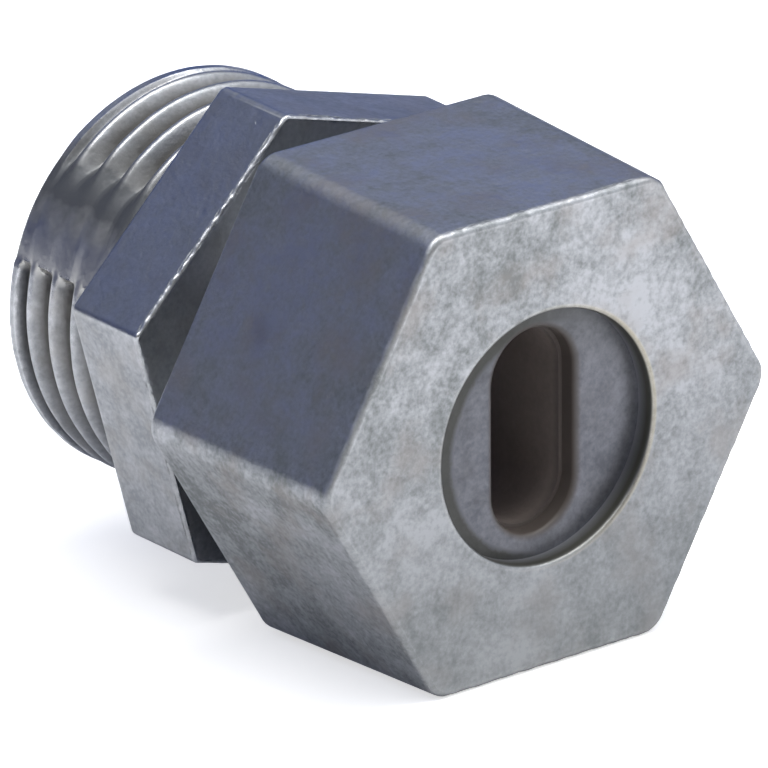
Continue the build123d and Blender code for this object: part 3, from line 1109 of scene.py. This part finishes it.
def washer_steel():
    """Plated steel with a dull satin face, painted shade under the lip and on its upper part, and painted
    brown shade round the slot.
    """
    material, tree, shader, place, mottle = mottled_material(
        "washer_steel", (0.23, 0.235, 0.26), (0.14, 0.145, 0.165), (0.13, 0.128, 0.13))
    _, across, _, upwards = place_of(tree)
    # Painted shade of the nut's lip: a ragged ring, off-centre, mostly on the left.
    flat = add(tree, "CombineXYZ", {"X": across, "Z": upwards}).outputs[0]
    reach = distance(tree, flat, LIP_SHADE_MIDDLE)
    ragged = math(tree, "ADD", reach, product(tree, mottle.outputs["Share"], LIP_SHADE_RAGGED))
    lip_shade_ring = spread(tree, ragged, NUT_HOLE_RADIUS - LIP_SHADE_START, NUT_HOLE_RADIUS - LIP_SHADE_END)
    shade_leftwards = spread(tree, across, LIP_SHADE_NONE_X, LIP_SHADE_FULL_X, 0.0, LIP_SHADE_SHARE)
    lay_over(tree, product(tree, lip_shade_ring, shade_leftwards), LIP_SHADE_COLOR)
    # Painted shade on the upper part of the washer.
    lay_over(tree, spread(tree, upwards, UPPER_SHADE_START, UPPER_SHADE_END, 0.0, UPPER_SHADE_SHARE), LIP_SHADE_COLOR)
    # Painted shade round the slot: its rounded edge dark brown and not metallic.
    straight = (SLOT_HEIGHT - SLOT_WIDTH) / 2
    over = math(tree, "MAXIMUM", math(tree, "SUBTRACT", math(tree, "ABSOLUTE", upwards), straight))
    squares = math(tree, "ADD", math(tree, "POWER", across, 2.0), math(tree, "POWER", over, 2.0))
    from_middle = math(tree, "SQRT", squares)
    from_edge = math(tree, "SUBTRACT", from_middle, SLOT_WIDTH / 2)
    slot_shade = spread(tree, from_edge, SLOT_SHADE_INNER, SLOT_SHADE_OUTER, 1.0, 0.0)
    lay_over(tree, slot_shade, SLOT_SHADE_BROWN)
    tree.links.new(math(tree, "SUBTRACT", 1.0, slot_shade), shader.inputs["Metallic"])
    rough = spread(tree, mottle.outputs["Share"], 0.0, 1.0, WASHER_ROUGH, WASHER_SMOOTH)
    tree.links.new(rough, shader.inputs["Roughness"])
    add_skin(tree, place, WASHER_BUMP, WASHER_SKIN)
    return material


WASHER_STEEL = washer_steel()
print("material:", WASHER_STEEL.name)

# %% [markdown]
# The rubber is dark brown and matt. Its front face has painted shade, darker than the wall of its
# slot, which catches the light that falls in through the washer.

# %% Material: rubber
# Painted shade on the rubber's front face.
FRONT_SHADE_DEPTH = 0.5 * MM
FRONT_SHADE_SHARE = 0.8
RUBBER_ROUGH, RUBBER_SMOOTH = 0.75, 0.6
RUBBER_BUMP = 0.3
RUBBER_SKIN = 0.00004


def bushing_rubber():
    """Dark brown moulded rubber with a dusty bloom and painted shade on its front face."""
    material, tree, shader, place, mottle = mottled_material(
        "bushing_rubber", (0.2, 0.165, 0.147), (0.17, 0.14, 0.125), (0.21, 0.17, 0.145))
    _, _, along, _ = place_of(tree)
    # Painted shade on the rubber's front face, in the slot's dark brown.
    shaded_front = spread(tree, along, BUSHING_LOW.y + FRONT_SHADE_DEPTH, BUSHING_LOW.y, 0.0, FRONT_SHADE_SHARE)
    lay_over(tree, shaded_front, SLOT_SHADE_BROWN)
    rough = spread(tree, mottle.outputs["Share"], 0.0, 1.0, RUBBER_ROUGH, RUBBER_SMOOTH)
    tree.links.new(rough, shader.inputs["Roughness"])
    add_skin(tree, place, RUBBER_BUMP, RUBBER_SKIN)
    return material


BUSHING_RUBBER = bushing_rubber()
print("material:", BUSHING_RUBBER.name)

# %% [markdown]
# Each piece takes the place of one node of the imported model and rides on that node's body. The
# rubber rides with the washer, which pushes it.

# %% Give the pieces their finishes
for piece, material, node, body_name, slot_name in (
    (body, BODY_ZINC, "connector_body", "connector", "body_casting"),
    (nut, NUT_ZINC, "gland_nut", "nut", "nut_casting"),
    (washer, WASHER_STEEL, "friction_washer", "washer", "washer_steel"),
    (bushing, BUSHING_RUBBER, "sealing_grommet", "washer", "grommet_rubber"),
):
    piece.data.materials.clear()
    piece.data.materials.append(material)
    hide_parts(node)
    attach(piece, body_name)
    print(piece.name, "stands for", node)

# %% [markdown]
# The studio starts with the floor, a pale board that touches the collar's lowest corner and the
# nut's front edge. The camera sees it lifted to white, with the object's shadow on it. Mirrors see
# it lifted too, but only away from the object, so that the lower flats keep their darker feet.

# %% Floor
COLLAR_CORNER_Z = BODY_LOW.z
NUT_FRONT_FLAT_Z = -NUT_ACROSS_FLATS / 2
FLOOR_SIZE = 6.0
FLOOR_TILT = atan2(NUT_FRONT_FLAT_Z - COLLAR_CORNER_Z, COLLAR_FRONT_Y - NUT_FRONT_Y)
FLOOR_COLOR = (0.88, 0.88, 0.88, 1.0)
FLOOR_ROUGHNESS = 0.9
FLOOR_SHEEN = 0.1
CAMERA_LIFT = 0.62
MIRROR_LIFT = 0.5
SHADOW_MIDDLE = (0.0, -0.008, -0.0125)
SHADOW_INNER = 0.008
SHADOW_OUTER = 0.08


def ray_masks(tree):
    """1 for rays of the camera, and 1 for rays that a mirror or glass sends on."""
    paths = add(tree, "LightPath")
    sent_on = math(tree, "MAXIMUM", paths.outputs["Is Glossy Ray"], paths.outputs["Is Transmission Ray"])
    return paths.outputs["Is Camera Ray"], sent_on


def add_floor():
    """Pale board under the connector, seen a little brighter than it is."""
    deselect()
    bpy.ops.mesh.primitive_plane_add(
        size=FLOOR_SIZE,
        location=(0, COLLAR_FRONT_Y, COLLAR_CORNER_Z),
        rotation=(-FLOOR_TILT, 0, 0),
    )
    floor_board = settle(bpy.context.object, "floor_board")
    material, tree, shader = new_material("pale_board")
    shader.inputs["Base Color"].default_value = FLOOR_COLOR
    shader.inputs["Roughness"].default_value = FLOOR_ROUGHNESS
    shader.inputs["Specular IOR Level"].default_value = FLOOR_SHEEN
    shader.inputs["Emission Color"].default_value = (1.0, 1.0, 1.0, 1.0)
    beside = distance(tree, object_place(tree), SHADOW_MIDDLE)
    open_floor = spread(tree, beside, SHADOW_INNER, SHADOW_OUTER)
    from_camera, sent_on = ray_masks(tree)
    mirror_lift = product(tree, sent_on, open_floor, MIRROR_LIFT)
    camera_lift = product(tree, from_camera, CAMERA_LIFT)
    tree.links.new(math(tree, "ADD", mirror_lift, camera_lift), shader.inputs["Emission Strength"])
    floor_board.data.materials.append(material)


add_floor()
print("floor tilts", round(degrees(FLOOR_TILT), 2), "degrees")

# %% [markdown]
# Out of the picture stand two things that the metal mirrors. A curved screen behind and left of the
# object turns from dark blue-grey on the left to lighter blue on the right, which is what gives the
# upper flats their blue. A grey card in front shows in the flanks of the thread. Neither is seen by
# the camera or casts a shadow.

# %% Screen and card
SCREEN_RADIUS = 1.4
SCREEN_HEIGHT = 2.1
SCREEN_SUNK = 0.02
SCREEN_SIDES = 96
SCREEN_LEFT = (0.022, 0.036, 0.115, 1.0)
SCREEN_RIGHT = (0.005, 0.085, 0.42, 1.0)
SCREEN_ACROSS = (-0.8, 1.2)
SCREEN_LOW = (0.05, 0.075, 0.2, 1.0)
SCREEN_LOW_HEIGHTS = (0.1, 0.4)
SCREEN_HIGH = (0.21, 0.245, 0.38, 1.0)
SCREEN_HIGH_HEIGHTS = (0.55, 1.1)
SCREEN_TOP = (0.33, 0.35, 0.43, 1.0)
SCREEN_TOP_HEIGHTS = (1.15, 1.6)
SCREEN_LEAN = 0.5
SCREEN_RIGHT_END = -0.1
SCREEN_LEFT_END = -0.75
CARD_PLACE = Vector((-0.5, -1.2, 0.5))
CARD_WIDTH = 2.0
CARD_HEIGHT = 0.9
CARD_LEFT = (0.2, 0.195, 0.185, 1.0)
CARD_RIGHT = (0.5, 0.48, 0.45, 1.0)
CARD_ACROSS = (-0.3, 0.6)


def screen_color(tree, across, upwards):
    """The screen's colour by its place: from left to right, and then lighter in two steps upwards."""
    rightwards = math(tree, "ADD", across, product(tree, upwards, SCREEN_LEAN))
    blue = mixed(tree, spread(tree, rightwards, *SCREEN_ACROSS), SCREEN_LEFT, SCREEN_RIGHT)
    blue = mixed(tree, spread(tree, upwards, *SCREEN_LOW_HEIGHTS), SCREEN_LOW, blue)
    blue = mixed(tree, spread(tree, upwards, *SCREEN_HIGH_HEIGHTS), blue, SCREEN_HIGH)
    leaning = math(tree, "ADD", upwards, product(tree, across, SCREEN_LEAN))
    return mixed(tree, spread(tree, leaning, *SCREEN_TOP_HEIGHTS), blue, SCREEN_TOP)


def card_color(tree, across, upwards):
    """The card's grey, lighter to the right."""
    return mixed(tree, spread(tree, across, *CARD_ACROSS), CARD_LEFT, CARD_RIGHT)


def make_glow(piece, name, color_of):
    """Lets a stage piece glow in the colour that color_of(tree, x, z) gives, for mirrors only."""
    material, tree, shader = new_material(name)
    tree.nodes.remove(shader)
    apart = add(tree, "SeparateXYZ", {"Vector": object_place(tree)})
    color = color_of(tree, apart.outputs["X"], apart.outputs["Z"])
    glow = add(tree, "Emission", {"Color": color, "Strength": 1.0})
    tree.links.new(glow.outputs[0], tree.nodes["Material Output"].inputs["Surface"])
    piece.data.materials.append(material)
    piece.visible_camera = False
    piece.visible_shadow = False


def is_open(face):
    """True for the part of the cylinder in front and on the right, which is left open."""
    middle = face.calc_center_median()
    return middle.y < SCREEN_RIGHT_END and not (middle.x < 0 and middle.y > SCREEN_LEFT_END)


def add_screen():
    """Part cylinder behind and left of the object."""
    deselect()
    bpy.ops.mesh.primitive_cylinder_add(
        vertices=SCREEN_SIDES,
        radius=SCREEN_RADIUS,
        depth=SCREEN_HEIGHT,
        end_fill_type="NOTHING",
        location=(0, 0, SCREEN_HEIGHT / 2 - SCREEN_SUNK),
    )
    screen = settle(bpy.context.object, "studio_screen")
    mesh = edit(screen, "FACE")
    pick(screen, mesh.faces, is_open)
    bpy.ops.mesh.delete(type="FACE")
    close_edit()
    make_glow(screen, "screen_paint", screen_color)


def add_card():
    """Flat card in front of the object, turned towards it."""
    deselect()
    bpy.ops.mesh.primitive_plane_add(
        size=1.0,
        location=CARD_PLACE,
        rotation=(-CARD_PLACE).to_track_quat("-Z", "Y").to_euler(),
    )
    card = bpy.context.object
    card.scale = (CARD_WIDTH, CARD_HEIGHT, 1.0)
    settle(card, "studio_card")
    make_glow(card, "card_paint", card_color)


add_screen()
add_card()
print("screen", SCREEN_RADIUS, "m away, card", round(CARD_PLACE.length, 2), "m away")

# %% [markdown]
# A large softbox straight overhead lights the whole and draws the bright lines on the edges and on
# the thread's crests. A narrow strip on the right lights the nut's upper front edge. The world
# fills in evenly from all round, and the camera and mirrors see it white.

# %% Lamps and world
WORLD_COLOR = (0.9, 0.93, 1.0, 1.0)
WORLD_LIGHT = 0.65


def add_lamp(name, place, aim, width, depth, power, color):
    """Soft rectangular lamp that looks at a point, or straight down without one."""
    data = bpy.data.lights.new(name, "AREA")
    data.shape = "RECTANGLE"
    data.size = width
    data.size_y = depth
    data.energy = power
    data.color = color
    lamp = bpy.data.objects.new(name, data)
    bpy.context.scene.collection.objects.link(lamp)
    lamp.location = place
    if aim is not None:
        lamp.rotation_euler = (Vector(aim) - Vector(place)).to_track_quat("-Z", "Y").to_euler()


def light_world():
    """Even pale light from all round, seen white by the camera and in mirrors."""
    world = bpy.data.worlds.new("studio")
    bpy.context.scene.world = world
    world.use_nodes = True
    tree = world.node_tree
    background = tree.nodes["Background"]
    background.inputs["Color"].default_value = WORLD_COLOR
    seen = math(tree, "MAXIMUM", *ray_masks(tree))
    tree.links.new(spread(tree, seen, 0.0, 1.0, WORLD_LIGHT, 1.0), background.inputs["Strength"])


light_world()
add_lamp("top_softbox", (-0.05, -0.18, 0.92), None, 1.1, 0.36, 7.2, (1.0, 0.99, 0.97))
add_lamp("right_strip", (0.6, -0.4, 0.76), (0, -0.01, 0), 0.18, 0.5, 1.0, (1.0, 1.0, 1.0))
print("lamps:", [item.name for item in bpy.data.lights])
